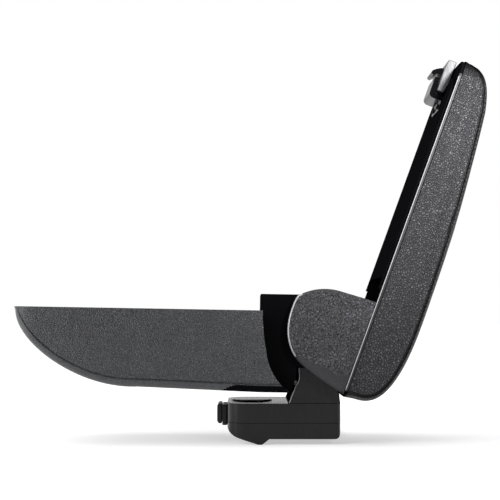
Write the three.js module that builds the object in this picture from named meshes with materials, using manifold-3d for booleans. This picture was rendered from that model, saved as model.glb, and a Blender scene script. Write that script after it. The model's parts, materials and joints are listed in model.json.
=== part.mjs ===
// Centre armrest with a storage box: a clamp foot, a pillar, a textured box with an axle at its rear,
// and a padded lid that swings about the axle. Millimetres, +Z up, the box's tip towards -X.
// The origin is the middle of the foot's flat underside. The lid is modelled fully open.

import * as THREE from "three";
import { mergeVertices } from "three/addons/utils/BufferGeometryUtils.js";
import Module from "manifold-3d";

const wasm = await Module();
wasm.setup();

// ---- driving dimensions ----
const HINGE = { x: 18.8, z: 89.2 }; // axle centre, in the foot's frame
const ARM_TILT = 1.0; // the box's tip is raised this much, degrees
const OPEN_ANGLE = 109.25; // from closed to fully open, degrees
const PARTING = 32; // height of the lid's joint face above the axle
const HALF_WIDTH = 64; // box and lid
const WALL = 3;
const GAP = 0.3; // between pieces that rest on each other
const BOX_TIP = -302; // from the axle, along the box
const LID_TIP = -309;
const LID_REAR = 40;
const HOUSING_HALF = 48.5;
const CHEEK_IN = 50;
const CHEEK_OUT = 62.5;
const CHEEK_RADIUS = 53;
const BOX_REAR_RADIUS = 55.2; // the box's rear edge clears the lid's cheeks
const AXLE_RADIUS = 5;
const AXLE_HALF = 58;
const FOOT_HALF = 44;
const FOOT_FRONT = -73.2;
const FOOT_REAR = 35.2;
const FOOT_TOP = 33.5;
const FOOT_SPLIT = 15.1;
const FOOT_CORNER = 18;
const STEM_HALF = 43;
const STEM_TOP = 67.2;
const CAP = { x: -49.5, radius: 20 };
const LATCH_HALF = 19;
const NOTCH_HALF = 21;
const POCKET = { front: -80, rear: 33, half: 50.6, top: 50.5 }; // clears the housing
const LINER_THICK = 3;
const PANEL_DEPTH = 2.2; // the liner's raised panel, which drops into the box
const BOARD_THICK = 2.6;
const COVER_THICK = 1.5;
const TAB_HALF = 17;
const FAR = 400; // larger than any piece

const rad = THREE.MathUtils.degToRad;

// ---- materials ----
function material(color, roughness, metalness = 0) {
  return new THREE.MeshStandardMaterial({ color, roughness, metalness });
}
const texturedGrey = () => material(0x3b3c3f, 0.7);
const glossBlack = () => material(0x0c0c0e, 0.18);
const satinBlack = () => material(0x151517, 0.4);
const leatherette = () => material(0x1d1d20, 0.55);
const foam = () => material(0xb9b2a0, 0.95);
const buttonGrey = () => material(0xa6a8ac, 0.35);
const softMat = () => material(0x1a1a1b, 0.95);
const steel = () => material(0x9a9da1, 0.35, 1);

// ---- solids ----
function solid(geometry) {
  const bare = geometry.index ? geometry.toNonIndexed() : geometry.clone();
  bare.deleteAttribute("normal");
  bare.deleteAttribute("uv");
  const merged = mergeVertices(bare, 1e-4);
  return new wasm.Manifold(new wasm.Mesh({
    numProp: 3,
    vertProperties: new Float32Array(merged.attributes.position.array),
    triVerts: new Uint32Array(merged.index.array),
  }));
}

function geometryOf(body) {
  const mesh = body.getMesh();
  const geometry = new THREE.BufferGeometry();
  geometry.setAttribute("position", new THREE.BufferAttribute(new Float32Array(mesh.vertProperties), 3));
  geometry.setIndex(new THREE.BufferAttribute(new Uint32Array(mesh.triVerts), 1));
  geometry.computeVertexNormals();
  return geometry;
}

function box(x0, x1, y0, y1, z0, z1) {
  const geometry = new THREE.BoxGeometry(x1 - x0, y1 - y0, z1 - z0);
  geometry.translate((x0 + x1) / 2, (y0 + y1) / 2, (z0 + z1) / 2);
  return solid(geometry);
}

function cylinderY(radius, x, z, y0, y1, segments = 40) {
  const geometry = new THREE.CylinderGeometry(radius, radius, y1 - y0, segments);
  geometry.translate(x, (y0 + y1) / 2, z);
  return solid(geometry);
}

function cylinderZ(radius, x, y, z0, z1, segments = 32) {
  const geometry = new THREE.CylinderGeometry(radius, radius, z1 - z0, segments);
  geometry.rotateX(Math.PI / 2);
  geometry.translate(x, y, (z0 + z1) / 2);
  return solid(geometry);
}

// A side outline (x, z) made into a slab across Y, its ends rounded by `round` across and `drop` inward.
function slabY(outline, half, { round = 0, drop = 0, inset = 0, steps = 3, curve = 7 } = {}) {
  const geometry = new THREE.ExtrudeGeometry(outline, {
    depth: 2 * (half - round),
    curveSegments: curve,
    bevelEnabled: round > 0 || inset > 0,
    bevelThickness: Math.max(round, 0.01),
    bevelSize: drop,
    bevelOffset: -drop - inset,
    bevelSegments: round > 0 ? steps : 1,
  });
  geometry.translate(0, 0, -(half - round));
  geometry.rotateX(Math.PI / 2);
  return solid(geometry);
}

// A plan outline (x, y) made into a slab up Z.
function slabZ(outline, z0, z1, { round = 0, curve = 6 } = {}) {
  const geometry = new THREE.ExtrudeGeometry(outline, {
    depth: z1 - z0 - 2 * round,
    curveSegments: curve,
    bevelEnabled: round > 0,
    bevelThickness: round,
    bevelSize: round,
    bevelOffset: -round,
    bevelSegments: 2,
  });
  geometry.translate(0, 0, z0 + round);
  return solid(geometry);
}

function polygon(points) {
  return new THREE.Shape(points.map(([x, z]) => new THREE.Vector2(x, z)));
}

// ---- outlines ----
// The box and the lid in plan: straight sides, a bowed tip and rounded corners.
function planOutline(tip, rear, half, corner = 26, rearCorner = 10) {
  const bow = 3;
  const shape = new THREE.Shape();
  shape.moveTo(rear, -half + rearCorner);
  shape.lineTo(rear, half - rearCorner);
  shape.quadraticCurveTo(rear, half, rear - rearCorner, half);
  shape.lineTo(tip + corner + bow, half);
  shape.bezierCurveTo(tip + bow + 8, half, tip + bow + 2, half - 10, tip + bow, half - corner);
  shape.quadraticCurveTo(tip, 0, tip + bow, -half + corner);
  shape.bezierCurveTo(tip + bow + 2, -half + 10, tip + bow + 8, -half, tip + corner + bow, -half);
  shape.lineTo(rear - rearCorner, -half);
  shape.quadraticCurveTo(rear, -half, rear, -half + rearCorner);
  return shape;
}

// The box from the side: a knife-shaped tip that sweeps down to a nearly level floor. It runs on past
// the parting face and past its rear edge, where it is cut.
function boxOutline() {
  const shape = new THREE.Shape();
  shape.moveTo(BOX_TIP, PARTING);
  shape.bezierCurveTo(-284, -9, -228, -45, -175, -42);
  shape.lineTo(-60, -45.2);
  shape.lineTo(0, -45.2);
  shape.lineTo(0, PARTING + 40);
  shape.lineTo(BOX_TIP - 10, PARTING + 40);
  return shape;
}

// The pad from the side: a blunt rounded tip, a long slightly bowed top and a rounded rear. It runs on
// below the parting face, where it is cut.
function padOutline() {
  const top = 82.5;
  const shape = new THREE.Shape();
  shape.moveTo(LID_TIP + 0.5, PARTING - 30);
  shape.lineTo(LID_TIP + 0.5, PARTING);
  shape.bezierCurveTo(LID_TIP - 3, 50, -298, 64, -262, 71);
  shape.bezierCurveTo(-200, 78, -130, top, -50, top);
  shape.bezierCurveTo(10, top, LID_REAR, 71, LID_REAR, 45);
  shape.lineTo(LID_REAR, PARTING - 30);
  return shape;
}

// The cheek: a fan about the axle whose front lower edge is an arc.
function cheekOutline() {
  const from = rad(183);
  const to = rad(228);
  const shape = new THREE.Shape();
  shape.moveTo(-54.6, PARTING - GAP);
  shape.lineTo(-54.2, 18);
  shape.lineTo(CHEEK_RADIUS * Math.cos(from), CHEEK_RADIUS * Math.sin(from));
  shape.absarc(0, 0, CHEEK_RADIUS, from, to, false);
  shape.quadraticCurveTo(-32, -41, -25, -41);
  shape.bezierCurveTo(0, -41.5, 14, -32, 23, -18);
  shape.quadraticCurveTo(30, -2, 37, PARTING - GAP);
  return shape;
}

// ---- the box (in its own frame: x along the box from the axle, z above the axle) ----
function boxRearCut() {
  const cut = polygon([[-58.6, FAR], [-58.6, 24], [-57, 6], [-54, -6], [-20, -60], [FAR, -60], [FAR, FAR]]);
  return slabY(cut, FAR).add(cylinderY(BOX_REAR_RADIUS, 0, 0, -FAR, FAR, 96));
}

function boxOuter(inset = 0) {
  const side = slabY(boxOutline(), HALF_WIDTH - inset, { round: 9, drop: 7, inset });
  const plan = slabZ(planOutline(BOX_TIP + inset, 40, HALF_WIDTH - inset), -FAR, FAR);
  return side.intersect(plan);
}

const NOTCH_FLOOR = 4;

function hullShell() {
  return boxOuter()
    .subtract(boxOuter(WALL))
    .subtract(box(-FAR, FAR, -FAR, FAR, PARTING - GAP, FAR))
    .subtract(boxRearCut())
    .subtract(box(-FAR, -270, -NOTCH_HALF, NOTCH_HALF, NOTCH_FLOOR, FAR));
}

const HULL_SCREWS = [[-54, -36], [-54, 36], [-43, -22], [-43, 22]];
const SCREW_SHANK = 1.5;
const SCREW_HEAD = 3.2;
const HULL_FLOOR = -45.2;

function hullScrewHoles() {
  return HULL_SCREWS.map(([x, y]) => cylinderZ(SCREW_SHANK + 0.4, x, y, HULL_FLOOR - 2, HULL_FLOOR + 12, 12)
    .add(cylinderZ(SCREW_HEAD + 0.4, x, y, HULL_FLOOR - 2, HULL_FLOOR + 1.4, 12)))
    .reduce((all, one) => all.add(one));
}

// A pan-head screw standing head down at the origin, with a round socket in its head.
function screw(length, shank = SCREW_SHANK, head = SCREW_HEAD, headHeight = 1.2) {
  const socket = head * 0.4;
  const profile = [
    [0, headHeight * 0.6],
    [socket, headHeight * 0.6],
    [socket, 0],
    [head, 0],
    [head, headHeight],
    [shank, headHeight],
    [shank, length - shank],
    [0, length],
  ];
  const geometry = new THREE.LatheGeometry(profile.map(([r, h]) => new THREE.Vector2(r, h)), 12);
  geometry.rotateX(Math.PI / 2);
  return geometry;
}

// A thin mat that follows the floor up towards the tip.
function tubMat() {
  const bed = boxOuter(WALL + 0.4);
  return bed
    .subtract(bed.translate([0, 0, 2]))
    .intersect(box(-FAR, -68, -52, 52, -FAR, -14));
}

// The keeper: a lip that reaches into the notch, on a foot behind the box's front wall.
function latchStrike() {
  const half = LATCH_HALF + 1;
  const lip = box(-281, -267.8, -half, half, 6, 11.5);
  const foot = box(-270.8, -267.8, -half, half, -2, 6.1);
  return lip.add(foot);
}

// The housing: a black hollow block between the cheeks, open below, with a flange across the box's rear.
function housingOutline() {
  const shape = new THREE.Shape();
  shape.moveTo(-60.5, -41.2);
  shape.lineTo(-60.5, 47.5);
  shape.lineTo(-14, 47.5);
  shape.bezierCurveTo(12, 42, 30, 28, 30, 4);
  shape.lineTo(26, -21.2);
  shape.lineTo(-25.4, -21.2);
  shape.lineTo(-26, -33);
  shape.lineTo(-30.6, -43);
  shape.lineTo(-34, -43);
  shape.lineTo(-35.8, -41.2);
  return shape;
}

function hingeHousing() {
  const block = slabY(housingOutline(), HOUSING_HALF, { round: 1.2, drop: 1.2, steps: 2, curve: 6 });
  const flange = box(-63.5, -60.2, -60.3, 60.3, -33, PARTING - 1);
  const hollow = polygon([[-56.5, -37.2], [-56.5, 43.5], [-16, 43.5], [8, 36], [21, 22], [25.6, 4],
    [22, -17.2], [-29.4, -17.2], [-30.4, -33], [-38, -37.2]]);
  const inner = slabY(hollow, HOUSING_HALF - 4);
  const mouth = box(-22, 22, -HOUSING_HALF + 4, HOUSING_HALF - 4, -30, -10);
  const bore = cylinderY(AXLE_RADIUS + 0.1, 0, 0, -FAR, FAR);
  return block.add(flange).subtract(inner).subtract(mouth).subtract(bore).subtract(hullScrewHoles());
}

// ---- the lid (in its own frame, closed: the same axes as the box) ----
function padSolid(inset = 0, bottom = PARTING) {
  const side = slabY(padOutline(), HALF_WIDTH - inset, { round: 18, drop: 7, inset, steps: 4 });
  const plan = slabZ(planOutline(LID_TIP + inset, LID_REAR - inset, HALF_WIDTH - inset, 28, 14), -FAR, FAR);
  return side.intersect(plan).subtract(box(-FAR, FAR, -FAR, FAR, -FAR, bottom));
}

const LINER_SCREWS = [[-240, -44], [-240, 44], [-110, -54], [-110, 54]];
const BOARD_BOTTOM = PARTING + LINER_THICK + GAP;
const BOARD_TOP = BOARD_BOTTOM + BOARD_THICK;

function linerScrewHoles() {
  return LINER_SCREWS.map(([x, y]) => cylinderZ(SCREW_SHANK + 0.4, x, y, PARTING - 5, PARTING + 20, 12)
    .add(cylinderZ(SCREW_HEAD + 0.4, x, y, PARTING - 5, PARTING + 1.6, 12)))
    .reduce((all, one) => all.add(one));
}

function pocketBox(grow) {
  const half = POCKET.half + grow;
  return box(POCKET.front - grow, POCKET.rear + grow, -half, half, 0, POCKET.top + grow);
}

const PANEL = { inset: 6, tip: -291, rear: -68 };
const LATCH_ROOM = { rear: -256, half: LATCH_HALF + 1.2 };

function lidLiner() {
  const plan = planOutline(LID_TIP + 0.8, LID_REAR - 0.8, HALF_WIDTH - 0.8, 28, 14);
  const plate = slabZ(plan, PARTING, PARTING + LINER_THICK);
  const panel = slabZ(planOutline(PANEL.tip, 0, HALF_WIDTH - PANEL.inset), PARTING - PANEL_DEPTH, PARTING + 1)
    .subtract(box(PANEL.rear, FAR, -FAR, FAR, -FAR, FAR))
    .subtract(box(-FAR, LATCH_ROOM.rear, -LATCH_ROOM.half, LATCH_ROOM.half, -FAR, PARTING));
  const dome = pocketBox(2).subtract(box(-FAR, FAR, -FAR, FAR, -FAR, PARTING));
  return plate.add(dome)
    .add(panel)
    .subtract(pocketBox(0))
    .subtract(linerScrewHoles())
    .subtract(latchScrewHoles());
}

function lidBoard() {
  const plan = planOutline(LID_TIP + 3.4, LID_REAR - 3.4, HALF_WIDTH - 3.4, 26, 12);
  return slabZ(plan, BOARD_BOTTOM, BOARD_TOP).subtract(pocketBox(2.4)).subtract(linerScrewHoles());
}

function padCover() {
  return padSolid(0, BOARD_BOTTOM).subtract(padSolid(COVER_THICK, PARTING - 5));
}

function padFoam() {
  return padSolid(COVER_THICK + GAP, BOARD_TOP + GAP).subtract(pocketBox(2.4)).subtract(
    LINER_SCREWS.map(([x, y]) => cylinderZ(SCREW_SHANK + 0.4, x, y, PARTING, PARTING + 9, 12))
      .reduce((all, one) => all.add(one)),
  );
}

function cheek(side) {
  const thickness = CHEEK_OUT - CHEEK_IN;
  const shape = cheekOutline();
  const geometry = new THREE.ExtrudeGeometry(shape, {
    depth: thickness - 2,
    curveSegments: 9,
    bevelEnabled: true,
    bevelThickness: 1,
    bevelSize: 1,
    bevelOffset: -1,
    bevelSegments: 1,
  });
  geometry.rotateX(Math.PI / 2);
  geometry.translate(0, side * (CHEEK_IN + CHEEK_OUT) / 2 + (thickness - 2) / 2, 0);
  const inner = side > 0 ? CHEEK_IN - 1 : -AXLE_HALF - 0.6;
  const outer = side > 0 ? AXLE_HALF + 0.6 : -CHEEK_IN + 1;
  return solid(geometry).subtract(cylinderY(AXLE_RADIUS + 0.12, 0, 0, inner, outer, 32));
}

const LATCH_SCREWS = [[-261.5, -12], [-261.5, 12]];

function latchScrewHoles() {
  return LATCH_SCREWS.map(([x, y]) => cylinderZ(SCREW_SHANK + 0.3, x, y, PARTING - 9, PARTING + 2.4, 12))
    .reduce((all, one) => all.add(one));
}

// The J-shaped frame under the lid's tip, with a screwed foot.
function latchFrame() {
  const shape = new THREE.Shape();
  shape.moveTo(-288, 20.3);
  shape.lineTo(-288, 15.2);
  shape.lineTo(-272.5, 15.2);
  shape.quadraticCurveTo(-266.8, 15.2, -266.8, 21);
  shape.lineTo(-266.8, 28.6);
  shape.lineTo(-257, 28.6);
  shape.lineTo(-257, PARTING - GAP);
  shape.lineTo(-272, PARTING - GAP);
  shape.lineTo(-272, 20.3);
  return slabY(shape, LATCH_HALF, { round: 1, drop: 0.8 }).subtract(latchScrewHoles());
}

const BUTTON = { tip: -309.5, rear: -276, half: LATCH_HALF - 3 };
const PRESS = 3; // the button's travel, into the lid

function latchButton() {
  const { tip, rear } = BUTTON;
  const plate = polygon([[tip, 31], [tip, 22.6], [tip + 7.5, 21.4], [rear, 21.4], [rear, 28.6],
    [-286, 30.4]]);
  return slabY(plate, BUTTON.half, { round: 0.8, drop: 0.8 });
}

function latchHook() {
  const outline = polygon([[-300, 21], [-299.2, 18], [-296.8, 14], [-294.4, 11], [-292, 10.4],
    [-290.4, 12.2], [-290.6, 14], [-292.6, 15.6], [-293.4, 21]]);
  return slabY(outline, BUTTON.half - 2, { round: 0.5, drop: 0.4 });
}

// ---- coil springs ----
class Helix extends THREE.Curve {
  constructor(radius, length, turns) {
    super();
    Object.assign(this, { radius, length, turns });
  }

  getPoint(t, target = new THREE.Vector3()) {
    const angle = 2 * Math.PI * this.turns * t;
    return target.set(this.length * t, this.radius * Math.cos(angle), this.radius * Math.sin(angle));
  }
}

function coil(radius, wire, length, turns) {
  const sides = 5;
  const ring = Array.from({ length: sides }, (_, i) => {
    const angle = (2 * Math.PI * i) / sides;
    return new THREE.Vector2(wire * Math.cos(angle), wire * Math.sin(angle));
  });
  return new THREE.ExtrudeGeometry(new THREE.Shape(ring), {
    steps: turns * 8,
    bevelEnabled: false,
    extrudePath: new Helix(radius, length, turns),
  });
}

// ---- the foot and the stem (in the row's frame) ----
function footPlan(inset = 0) {
  const half = FOOT_HALF - inset;
  const front = FOOT_FRONT + inset;
  const rear = FOOT_REAR - inset;
  const corner = FOOT_CORNER - inset;
  const rearCorner = 7;
  const shape = new THREE.Shape();
  shape.moveTo(rear, -half + rearCorner);
  shape.lineTo(rear, half - rearCorner);
  shape.absarc(rear - rearCorner, half - rearCorner, rearCorner, 0, Math.PI / 2, false);
  shape.lineTo(front + corner, half);
  shape.absarc(front + corner, half - corner, corner, Math.PI / 2, Math.PI, false);
  shape.lineTo(front, -half + corner);
  shape.absarc(front + corner, -half + corner, corner, Math.PI, 1.5 * Math.PI, false);
  shape.lineTo(rear - rearCorner, -half);
  shape.absarc(rear - rearCorner, -half + rearCorner, rearCorner, 1.5 * Math.PI, 2 * Math.PI, false);
  return shape;
}

// The lower half from the side: a rounded front, a wedge that hooks under the bracket, a flat sole.
function footLowerOutline(inset = 0) {
  const shape = new THREE.Shape();
  shape.moveTo(FOOT_FRONT + inset, FOOT_SPLIT + 10);
  shape.lineTo(FOOT_FRONT + inset, 10.4);
  shape.bezierCurveTo(-71.8 + inset, 5 + inset, -67 + inset, 2 + inset, -60 + inset, inset);
  shape.lineTo(-43.5, -5.3 + inset);
  shape.lineTo(-39.8, -5.3 + inset);
  shape.lineTo(-33, inset);
  shape.lineTo(FOOT_REAR - 6, inset);
  shape.quadraticCurveTo(FOOT_REAR - 1 - inset, inset, FOOT_REAR - 0.6 - inset, 5 + inset);
  shape.lineTo(FOOT_REAR - inset, FOOT_SPLIT + 10);
  return shape;
}

const FOOT_SCREWS = [[-50, -34], [-50, 34], [26, -34], [26, 34]];
const BOSS_RADIUS = 5;
const CORE = { front: -12, rear: 10, half: 15, foot: 4 };

function tabWindow(grow) {
  return box(FOOT_FRONT - 3, FOOT_FRONT + 8, -TAB_HALF + 4 - grow, TAB_HALF - 4 + grow, 14 - grow, 27 + grow);
}

function bosses(z0, z1) {
  return FOOT_SCREWS.map(([x, y]) => cylinderZ(BOSS_RADIUS, x, y, z0, z1, 16))
    .reduce((all, one) => all.add(one));
}

function footScrewHoles() {
  return FOOT_SCREWS.map(([x, y]) => cylinderZ(SCREW_SHANK + 0.4, x, y, -2, 24, 12)
    .add(cylinderZ(SCREW_HEAD + 0.4, x, y, -2, 3, 12)))
    .reduce((all, one) => all.add(one));
}

function coreSlot(grow) {
  return box(CORE.front - grow, CORE.rear + grow, -CORE.half - grow, CORE.half + grow, CORE.foot - grow, FAR);
}

const CLAMP = { shank: 3, head: 6.5, nutFront: 8, nutRear: 14 };

const FOOT_EDGE = 1.4; // the upper shell's rounded top edge

function footUpper() {
  const outer = slabZ(footPlan(), FOOT_SPLIT, FOOT_TOP + FOOT_EDGE, { round: FOOT_EDGE })
    .subtract(box(-FAR, FAR, -FAR, FAR, -FAR, FOOT_SPLIT + FOOT_EDGE))
    .add(slabZ(footPlan(), FOOT_SPLIT, FOOT_SPLIT + 2))
    .intersect(box(-FAR, FAR, -FAR, FAR, FOOT_SPLIT, FOOT_TOP));
  const inner = slabZ(footPlan(WALL), FOOT_SPLIT - 1, FOOT_TOP - WALL);
  const recess = cylinderZ(CAP.radius + 0.5, CAP.x, 0, FOOT_TOP - 1.6, FOOT_TOP + 1, 48);
  const shaft = cylinderZ(CLAMP.shank + 0.4, CAP.x, 0, 0, FAR, 24);
  return outer
    .subtract(inner.subtract(bosses(0, FOOT_TOP)))
    .subtract(recess)
    .subtract(shaft)
    .subtract(coreSlot(GAP))
    .subtract(tabWindow(0.5))
    .subtract(footScrewHoles());
}

function footLower() {
  const outer = slabY(footLowerOutline(), FOOT_HALF + 1).intersect(slabZ(footPlan(), -10, FOOT_SPLIT - GAP));
  const inner = slabY(footLowerOutline(WALL), FOOT_HALF).intersect(slabZ(footPlan(WALL), -10, FAR));
  const shaft = cylinderZ(CLAMP.shank + 0.4, CAP.x, 0, -10, FAR, 24);
  return outer
    .subtract(inner.subtract(bosses(-10, FAR)))
    .subtract(shaft)
    .subtract(tabWindow(0.5))
    .subtract(footScrewHoles());
}

function clampCap() {
  const profile = [[0, 0], [CAP.radius, 0], [CAP.radius, 1.4], [CAP.radius - 1.4, 2.6], [CAP.radius - 5, 3],
    [CAP.radius - 11, 3.3], [0, 3.4]];
  const geometry = new THREE.LatheGeometry(profile.map(([r, h]) => new THREE.Vector2(r, h)), 36);
  geometry.rotateX(Math.PI / 2);
  geometry.translate(CAP.x, 0, FOOT_TOP - 1.3);
  return solid(geometry);
}

function clampNut() {
  const plate = box(CAP.x - CLAMP.nutFront, CAP.x + CLAMP.nutRear, -14, 14, 3.4, 8.4);
  return plate.subtract(cylinderZ(CLAMP.shank + 0.12, CAP.x, 0, -10, 20, 24));
}

function tabBezel() {
  const collar = box(FOOT_FRONT - 5.2, FOOT_FRONT - GAP, -TAB_HALF, TAB_HALF, 10.4, 30.4);
  return collar.subtract(box(-FAR, FAR, -TAB_HALF + 3.6, TAB_HALF - 3.6, 13.6, 27.4));
}

function releaseTab() {
  const side = polygon([[-83.4, 14.5], [-83.4, 29.6], [-81.8, 31.2], [-78.8, 31.2], [-78.8, 12.2],
    [-81.8, 12.2]]);
  const face = slabY(side, TAB_HALF, { round: 0.8, drop: 0.6 });
  const neck = box(-79.6, -50, -TAB_HALF + 5, TAB_HALF - 5, 17, 24);
  const flange = box(-53, -50, -TAB_HALF + 4, TAB_HALF - 4, 15.4, 26.4);
  return face.add(neck).add(flange).subtract(box(-70, -40, -7.2, 7.2, 14, 28));
}

// The stem from the side: its front edge leans back, steps in under the housing and stands straight.
function stemOutline(inset = 0) {
  const shape = new THREE.Shape();
  shape.moveTo(-17.2 + inset, FOOT_TOP - 6);
  shape.lineTo(-8.2 + inset, 50.2);
  shape.quadraticCurveTo(-4.6 + inset, 55, -4.8 + inset, 60);
  shape.lineTo(-5.4 + inset, 72);
  shape.lineTo(33.2 - inset, 72);
  shape.lineTo(34 - inset, 40);
  shape.lineTo(35.6 - inset, FOOT_TOP - 6);
  return shape;
}

function stemShell() {
  const outer = slabY(stemOutline(), STEM_HALF, { round: 1.5, drop: 0.8 });
  const inner = slabY(stemOutline(WALL), STEM_HALF - WALL);
  return outer.subtract(inner).intersect(box(-FAR, FAR, -FAR, FAR, FOOT_TOP + GAP, STEM_TOP));
}

// The steel core runs from inside the foot to an eye about the axle.
function stemCore() {
  const radius = 11;
  const shape = new THREE.Shape();
  shape.moveTo(CORE.front, CORE.foot);
  shape.lineTo(CORE.rear, CORE.foot);
  shape.lineTo(CORE.rear, FOOT_TOP + 3);
  shape.lineTo(HINGE.x + radius, HINGE.z - 26);
  shape.lineTo(HINGE.x + radius, HINGE.z);
  shape.absarc(HINGE.x, HINGE.z, radius, 0, Math.PI, false);
  shape.lineTo(HINGE.x - radius, HINGE.z - 26);
  const eye = cylinderY(AXLE_RADIUS + 0.1, HINGE.x, HINGE.z, -FAR, FAR);
  return slabY(shape, CORE.half, { curve: 12 }).subtract(eye);
}

// ---- assembly ----
const armrest = new THREE.Group();
const armGroup = new THREE.Group();
armGroup.position.set(HINGE.x, 0, HINGE.z);
armGroup.rotation.y = rad(ARM_TILT);
const lidGroup = new THREE.Group();
lidGroup.position.set(HINGE.x, 0, HINGE.z);
lidGroup.rotation.y = rad(ARM_TILT + OPEN_ANGLE);
armrest.add(armGroup, lidGroup);

function place(group, name, body, finish) {
  const geometry = body.isBufferGeometry ? body : geometryOf(body);
  const mesh = new THREE.Mesh(geometry, finish);
  mesh.name = name;
  group.add(mesh);
  return mesh;
}

function placeScrews(group, name, spots, z, length) {
  spots.forEach(([x, y], i) => {
    place(group, `${name}_${i + 1}`, screw(length), steel()).position.set(x, y, z);
  });
}

place(armrest, "foot_lower_shell", footLower(), glossBlack());
place(armrest, "foot_upper_shell", footUpper(), glossBlack());
place(armrest, "clamp_cap", clampCap(), satinBlack());
place(armrest, "clamp_nut", clampNut(), steel());
const clampScrew = place(armrest, "clamp_screw", screw(29, CLAMP.shank, CLAMP.head, 4), steel());
clampScrew.rotation.x = Math.PI;
clampScrew.position.set(CAP.x, 0, FOOT_TOP - 4);
placeScrews(armrest, "foot_screw", FOOT_SCREWS, 1.4, 20);
place(armrest, "tab_bezel", tabBezel(), satinBlack());
place(armrest, "release_tab", releaseTab(), satinBlack());
const tabSpring = place(armrest, "release_spring", coil(3.4, 0.5, 15, 6), steel());
tabSpring.position.set(-69.2, 0, 20.6);
place(armrest, "stem_shell", stemShell(), glossBlack());
place(armrest, "stem_core", stemCore(), steel());

place(armGroup, "hull_shell", hullShell().subtract(hullScrewHoles()), texturedGrey());
place(armGroup, "tub_mat", tubMat(), softMat());
place(armGroup, "latch_strike", latchStrike(), satinBlack());
place(armGroup, "hinge_housing", hingeHousing(), glossBlack());
place(armGroup, "hinge_axle", cylinderY(AXLE_RADIUS, 0, 0, -AXLE_HALF, AXLE_HALF), steel());
placeScrews(armGroup, "hull_screw", HULL_SCREWS, HULL_FLOOR + 0.2, 10);
[["left", -1], ["right", 1]].forEach(([name, side]) => {
  const from = side > 0 ? HOUSING_HALF + 0.25 : -CHEEK_IN + 0.25;
  const disc = cylinderY(15, 0, 0, from, from + 1, 32);
  const washer = disc.subtract(cylinderY(AXLE_RADIUS + 0.2, 0, 0, -FAR, FAR, 32));
  place(armGroup, `friction_washer_${name}`, washer, steel());
  place(lidGroup, `cheek_${name}`, cheek(side), texturedGrey());
});

place(lidGroup, "lid_liner", lidLiner(), glossBlack());
place(lidGroup, "lid_board", lidBoard(), satinBlack());
place(lidGroup, "pad_foam", padFoam(), foam());
place(lidGroup, "pad_cover", padCover(), leatherette());
placeScrews(lidGroup, "liner_screw", LINER_SCREWS, PARTING + 0.3, 7.5);
place(lidGroup, "latch_frame", latchFrame(), glossBlack());
place(lidGroup, "latch_button", latchButton(), buttonGrey());
place(lidGroup, "latch_hook", latchHook(), glossBlack());
placeScrews(lidGroup, "latch_screw", LATCH_SCREWS, PARTING - 5, 7);
const latchSpring = place(lidGroup, "latch_spring", coil(2.4, 0.35, PRESS + 0.1, 3), steel());
latchSpring.position.set(BUTTON.rear + 0.4, 0, 25);

export default armrest;
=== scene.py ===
# Centre armrest with a storage box, shown with its padded lid fully open.
# Shapes are written in millimetres in the frame of the assembly that they belong to, then placed in metres.
import json
import math

import bmesh
import bpy
import numpy as np
from mathutils import Matrix, Vector, noise
from mathutils.bvhtree import BVHTree

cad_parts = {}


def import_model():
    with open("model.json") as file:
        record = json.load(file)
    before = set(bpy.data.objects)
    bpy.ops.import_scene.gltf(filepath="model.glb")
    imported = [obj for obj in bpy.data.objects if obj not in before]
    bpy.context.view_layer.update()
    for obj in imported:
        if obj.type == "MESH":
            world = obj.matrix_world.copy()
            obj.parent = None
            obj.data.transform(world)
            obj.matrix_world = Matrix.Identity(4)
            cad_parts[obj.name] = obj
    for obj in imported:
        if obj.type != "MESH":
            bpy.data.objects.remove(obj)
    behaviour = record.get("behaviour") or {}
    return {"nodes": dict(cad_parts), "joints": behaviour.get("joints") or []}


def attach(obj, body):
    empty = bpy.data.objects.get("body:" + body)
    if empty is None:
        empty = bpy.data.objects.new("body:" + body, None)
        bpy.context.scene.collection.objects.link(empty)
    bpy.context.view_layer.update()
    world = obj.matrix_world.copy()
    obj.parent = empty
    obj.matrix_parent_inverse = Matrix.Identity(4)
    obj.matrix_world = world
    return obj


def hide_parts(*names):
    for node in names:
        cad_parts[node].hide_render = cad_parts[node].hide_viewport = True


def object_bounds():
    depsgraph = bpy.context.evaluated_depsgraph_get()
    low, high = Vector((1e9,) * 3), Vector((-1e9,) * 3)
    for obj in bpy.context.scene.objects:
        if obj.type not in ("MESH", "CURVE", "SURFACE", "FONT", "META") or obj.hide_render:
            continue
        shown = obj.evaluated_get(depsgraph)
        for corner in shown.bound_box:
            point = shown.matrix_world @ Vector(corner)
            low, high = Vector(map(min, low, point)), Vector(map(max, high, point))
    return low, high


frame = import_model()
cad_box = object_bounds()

MM = 0.001
HINGE = next(j for j in frame["joints"] if j["name"] == "lid_hinge")
AXLE = Vector(HINGE["pos_m"])
ARM_TILT = math.radians(1.0)
OPEN_ANGLE = math.radians(HINGE["range_deg"][1])
ROW = Matrix.Identity(4)
ARM = Matrix.Translation(AXLE) @ Matrix.Rotation(ARM_TILT, 4, "Y")
LID = Matrix.Translation(AXLE) @ Matrix.Rotation(ARM_TILT + OPEN_ANGLE, 4, "Y")

# ---- driving dimensions, in millimetres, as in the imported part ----
PARTING = 32.0
HALF = 64.0
GAP = 0.3
BOX_TIP = -302.0
LID_TIP = -309.0
LID_REAR = 40.0
COVER_BOTTOM = 35.3
FAR = 400.0
TIP_BOW = 3.0  # how far the tips bow forward in plan


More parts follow.
